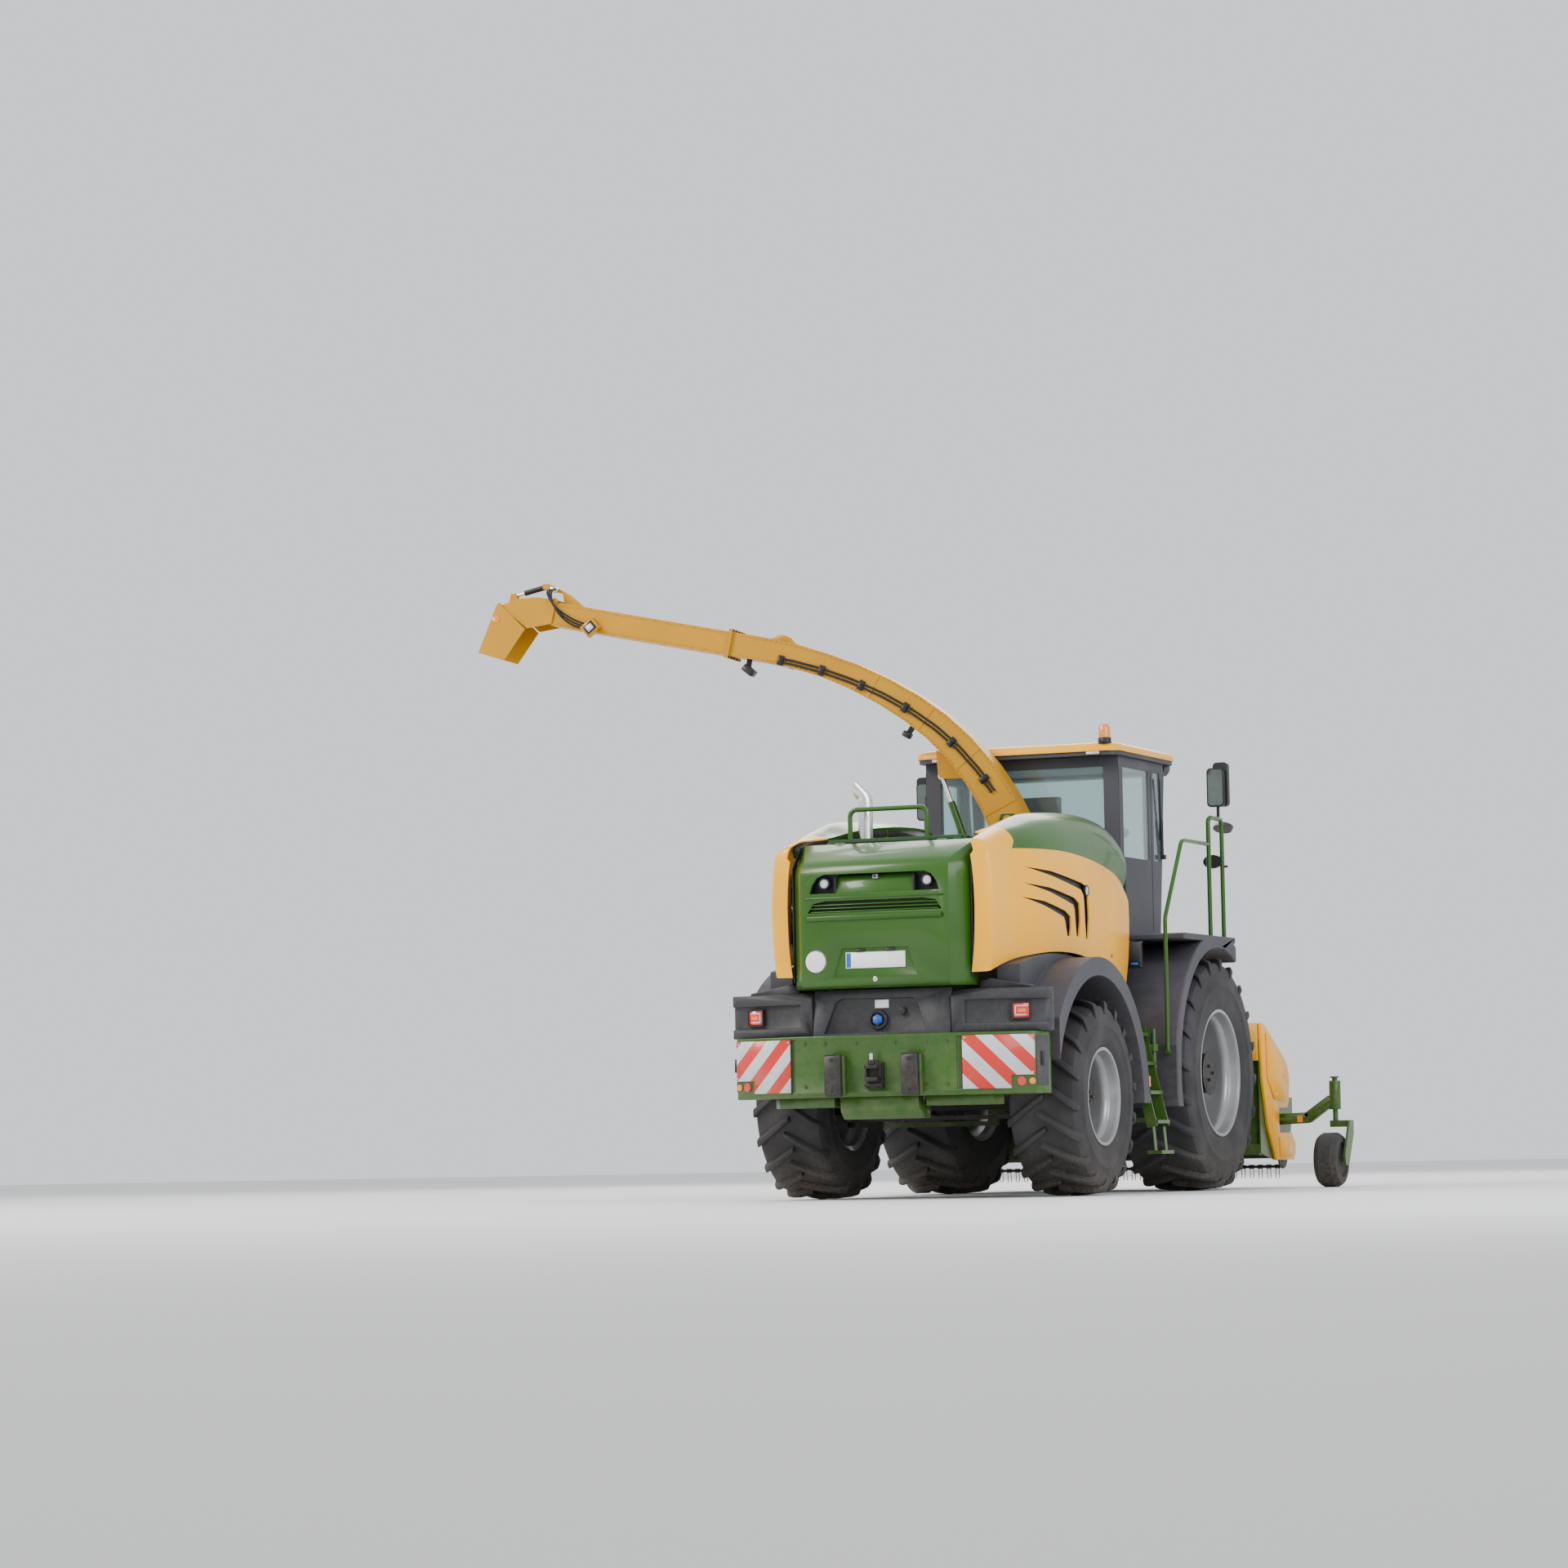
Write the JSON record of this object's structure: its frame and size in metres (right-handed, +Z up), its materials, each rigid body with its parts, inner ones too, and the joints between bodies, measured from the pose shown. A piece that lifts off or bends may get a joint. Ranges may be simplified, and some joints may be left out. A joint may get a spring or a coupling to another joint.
{
  "type": "self-propelled forage harvester",
  "caption": "Self-propelled forage harvester with grass pickup, cab, swinging discharge spout, steered rear wheels, opening hood panels and ballast bumper.",
  "frame": {"origin": "middle of the box that holds the machine, on the floor", "axes": "+Z up, the machine faces -Y, its left-hand side is +X"},
  "size_m": [6.9327, 6.8002, 5.534],
  "materials": {
    "body_green": "gloss paint",
    "frame_green": "satin paint",
    "machine_yellow": "gloss moulding",
    "spout_yellow": "gloss paint",
    "grey_plastic": "grained moulding",
    "black_plastic": "matt",
    "black_iron": "matt paint",
    "axle_iron": "dark paint",
    "rim_silver": "silver paint",
    "tyre": "rubber",
    "chrome": "polished",
    "glass": "tinted",
    "lamp_red": "clear lens",
    "warning_film": "reflective red and white bars",
    "seat_fabric": "woven"
  },
  "bodies": {
    "chassis": {"main_frame": "frame_green", "front_axle": "axle_iron", "rear_axle_beam": "axle_iron", "engine_block": "axle_iron", "rear_panels": "grey_plastic", "ballast_bumper": "body_green", "warning_plates": "warning_film", "tow_hitch": "black_iron", "top_deck": "frame_green", "hood_walls": "frame_green", "exhaust": "chrome", "rear_fenders": "grey_plastic", "front_fenders": "grey_plastic", "side_walls": "grey_plastic", "cab_frame": "grey_plastic", "cab_glass": "glass", "cab_roof": "machine_yellow", "cab_interior": "seat_fabric", "rails": "body_green", "mirrors": "black_plastic", "lamps": "lamp_red"},
    "front_wheel_left": {"tyre_front_left": "tyre", "rim_front_left": "rim_silver"},
    "front_wheel_right": {"tyre_front_right": "tyre", "rim_front_right": "rim_silver"},
    "knuckle_left": {"knuckle_left": "axle_iron"},
    "knuckle_right": {"knuckle_right": "axle_iron"},
    "rear_wheel_left": {"tyre_rear_left": "tyre", "rim_rear_left": "rim_silver"},
    "rear_wheel_right": {"tyre_rear_right": "tyre", "rim_rear_right": "rim_silver"},
    "tie_rod": {"tie_rod": "axle_iron"},
    "turret": {"turret": "frame_green"},
    "spout": {"spout": "spout_yellow"},
    "lift_barrel": {"lift_barrel": "body_green"},
    "lift_rod": {"lift_rod": "chrome"},
    "deflector": {"deflector": "spout_yellow"},
    "end_flap": {"end_flap": "spout_yellow"},
    "flap_barrel": {"flap_barrel": "black_iron"},
    "flap_rod": {"flap_rod": "chrome"},
    "tailgate": {"tailgate": "body_green"},
    "side_flap_left": {"side_flap_left": "machine_yellow"},
    "side_flap_right": {"side_flap_right": "machine_yellow"},
    "cab_door": {"cab_door": "grey_plastic", "door_glass": "glass"},
    "ladder_left": {"ladder_left": "body_green"},
    "ladder_right": {"ladder_right": "body_green"},
    "header": {"feeder": "body_green", "header_frame": "body_green", "header_covers": "machine_yellow"},
    "auger": {"auger": "body_green"},
    "tine_reel": {"tine_reel": "black_iron"},
    "crop_roller": {"crop_roller": "body_green"},
    "castor_left": {"castor_left": "body_green"},
    "castor_right": {"castor_right": "body_green"},
    "gauge_wheel_left": {"gauge_wheel_left": "tyre"},
    "gauge_wheel_right": {"gauge_wheel_right": "tyre"}
  },
  "joints": [
    {"name": "front_wheel_left_spin", "type": "hinge", "parent": "chassis", "child": "front_wheel_left", "pos_m": [-0.19599, -1.21418, 1.03], "axis": [1, 0, 0], "continuous": true},
    {"name": "steer_left", "type": "hinge", "parent": "chassis", "child": "knuckle_left", "pos_m": [-0.53599, 1.73982, 0.812], "axis": [0, 0, 1], "range_deg": [-36, 36]},
    {"name": "rear_wheel_left_spin", "type": "hinge", "parent": "knuckle_left", "child": "rear_wheel_left", "pos_m": [-0.20099, 1.73982, 0.812], "axis": [1, 0, 0], "continuous": true},
    {"name": "front_wheel_right_spin", "type": "hinge", "parent": "chassis", "child": "front_wheel_right", "pos_m": [-2.45599, -1.21418, 1.03], "axis": [1, 0, 0], "continuous": true},
    {"name": "steer_right", "type": "hinge", "parent": "chassis", "child": "knuckle_right", "pos_m": [-2.11599, 1.73982, 0.812], "axis": [0, 0, 1], "range_deg": [-36, 36]},
    {"name": "rear_wheel_right_spin", "type": "hinge", "parent": "knuckle_right", "child": "rear_wheel_right", "pos_m": [-2.45099, 1.73982, 0.812], "axis": [1, 0, 0], "continuous": true},
    {"name": "tie_rod_pivot", "type": "hinge", "parent": "knuckle_left", "child": "tie_rod", "pos_m": [-0.53599, 1.94982, 0.662], "axis": [0, 0, 1], "range_deg": [-36, 36]},
    {"name": "spout_swing", "type": "hinge", "parent": "chassis", "child": "turret", "pos_m": [-1.32599, 0.08983, 2.83], "axis": [0, 0, 1], "range_deg": [-4, 170]},
    {"name": "spout_lift", "type": "hinge", "parent": "turret", "child": "spout", "pos_m": [-1.37065, 0.08434, 3.24], "axis": [0.1219, -0.9925, 0], "range_deg": [-20, 3]},
    {"name": "lift_barrel_foot", "type": "hinge", "parent": "turret", "child": "lift_barrel", "pos_m": [-0.97363, 0.13309, 2.985], "axis": [0.1219, -0.9925, 0], "range_deg": [-19, 3]},
    {"name": "lift_rod_slide", "type": "slide", "parent": "lift_barrel", "child": "lift_rod", "axis": [0.3201, 0.0393, 0.9466], "range_m": [-0.19, 0.03]},
    {"name": "deflector_fold", "type": "hinge", "parent": "spout", "child": "deflector", "pos_m": [2.71864, 0.58644, 5.362], "axis": [0.1219, -0.9925, 0], "range_deg": [-12, 12]},
    {"name": "end_flap_fold", "type": "hinge", "parent": "deflector", "child": "end_flap", "pos_m": [3.23972, 0.65042, 5.345], "axis": [0.1219, -0.9925, 0], "range_deg": [-18, 18]},
    {"name": "flap_barrel_foot", "type": "hinge", "parent": "spout", "child": "flap_barrel", "pos_m": [2.85759, 0.6035, 5.51], "axis": [0.1219, -0.9925, 0], "range_deg": [-20, 20]},
    {"name": "flap_rod_slide", "type": "slide", "parent": "flap_barrel", "child": "flap_rod", "axis": [0.9674, 0.1188, -0.2237], "range_m": [-0.05, 0.05]},
    {"name": "tailgate_lift", "type": "hinge", "parent": "chassis", "child": "tailgate", "pos_m": [-1.32599, 2.84382, 2.915], "axis": [1, 0, 0], "range_deg": [0, 70]},
    {"name": "side_flap_left_lift", "type": "hinge", "parent": "chassis", "child": "side_flap_left", "pos_m": [-0.72399, 1.73982, 3.1], "axis": [0, -1, 0], "range_deg": [0, 58]},
    {"name": "side_flap_right_lift", "type": "hinge", "parent": "chassis", "child": "side_flap_right", "pos_m": [-1.92799, 1.73982, 3.1], "axis": [0, 1, 0], "range_deg": [0, 58]},
    {"name": "cab_door_swing", "type": "hinge", "parent": "chassis", "child": "cab_door", "pos_m": [-0.39799, -0.32617, 3], "axis": [0, 0, 1], "range_deg": [0, 80]},
    {"name": "ladder_left_swing", "type": "hinge", "parent": "chassis", "child": "ladder_left", "pos_m": [-0.03599, 0.09982, 1], "axis": [0, 0, -1], "range_deg": [0, 80]},
    {"name": "ladder_right_swing", "type": "hinge", "parent": "chassis", "child": "ladder_right", "pos_m": [-2.61599, 0.09982, 1], "axis": [0, 0, 1], "range_deg": [0, 80]},
    {"name": "pickup_lift", "type": "hinge", "parent": "chassis", "child": "header", "pos_m": [-1.32599, -1.51018, 0.93], "axis": [-1, 0, 0], "range_deg": [0, 18]},
    {"name": "auger_spin", "type": "hinge", "parent": "header", "child": "auger", "pos_m": [-1.32599, -2.70018, 0.61], "axis": [1, 0, 0], "continuous": true},
    {"name": "tine_reel_spin", "type": "hinge", "parent": "header", "child": "tine_reel", "pos_m": [-1.32599, -3.16018, 0.32], "axis": [1, 0, 0], "continuous": true},
    {"name": "crop_roller_spin", "type": "hinge", "parent": "header", "child": "crop_roller", "pos_m": [-1.32599, -3.27018, 0.76], "axis": [1, 0, 0], "continuous": true},
    {"name": "castor_left_swivel", "type": "hinge", "parent": "header", "child": "castor_left", "pos_m": [0.66401, -2.91018, 0.8], "axis": [0, 0, 1], "continuous": true},
    {"name": "gauge_wheel_left_spin", "type": "hinge", "parent": "castor_left", "child": "gauge_wheel_left", "pos_m": [0.66401, -2.74017, 0.245], "axis": [1, 0, 0], "continuous": true},
    {"name": "castor_right_swivel", "type": "hinge", "parent": "header", "child": "castor_right", "pos_m": [-3.31599, -2.91018, 0.8], "axis": [0, 0, 1], "continuous": true},
    {"name": "gauge_wheel_right_spin", "type": "hinge", "parent": "castor_right", "child": "gauge_wheel_right", "pos_m": [-3.31599, -2.74017, 0.245], "axis": [1, 0, 0], "continuous": true}
  ],
  "couplings": [
    {"joint": "steer_right", "follows": "steer_left", "ratio": 1},
    {"joint": "tie_rod_pivot", "follows": "steer_left", "ratio": -1},
    {"joint": "lift_barrel_foot", "follows": "spout_lift", "ratio": 0.9167},
    {"joint": "lift_rod_slide", "follows": "spout_lift", "m_per_rad": 0.4694},
    {"joint": "end_flap_fold", "follows": "deflector_fold", "ratio": 1.4},
    {"joint": "flap_barrel_foot", "follows": "deflector_fold", "ratio": 1.3341},
    {"joint": "flap_rod_slide", "follows": "deflector_fold", "m_per_rad": -0.1736}
  ]
}
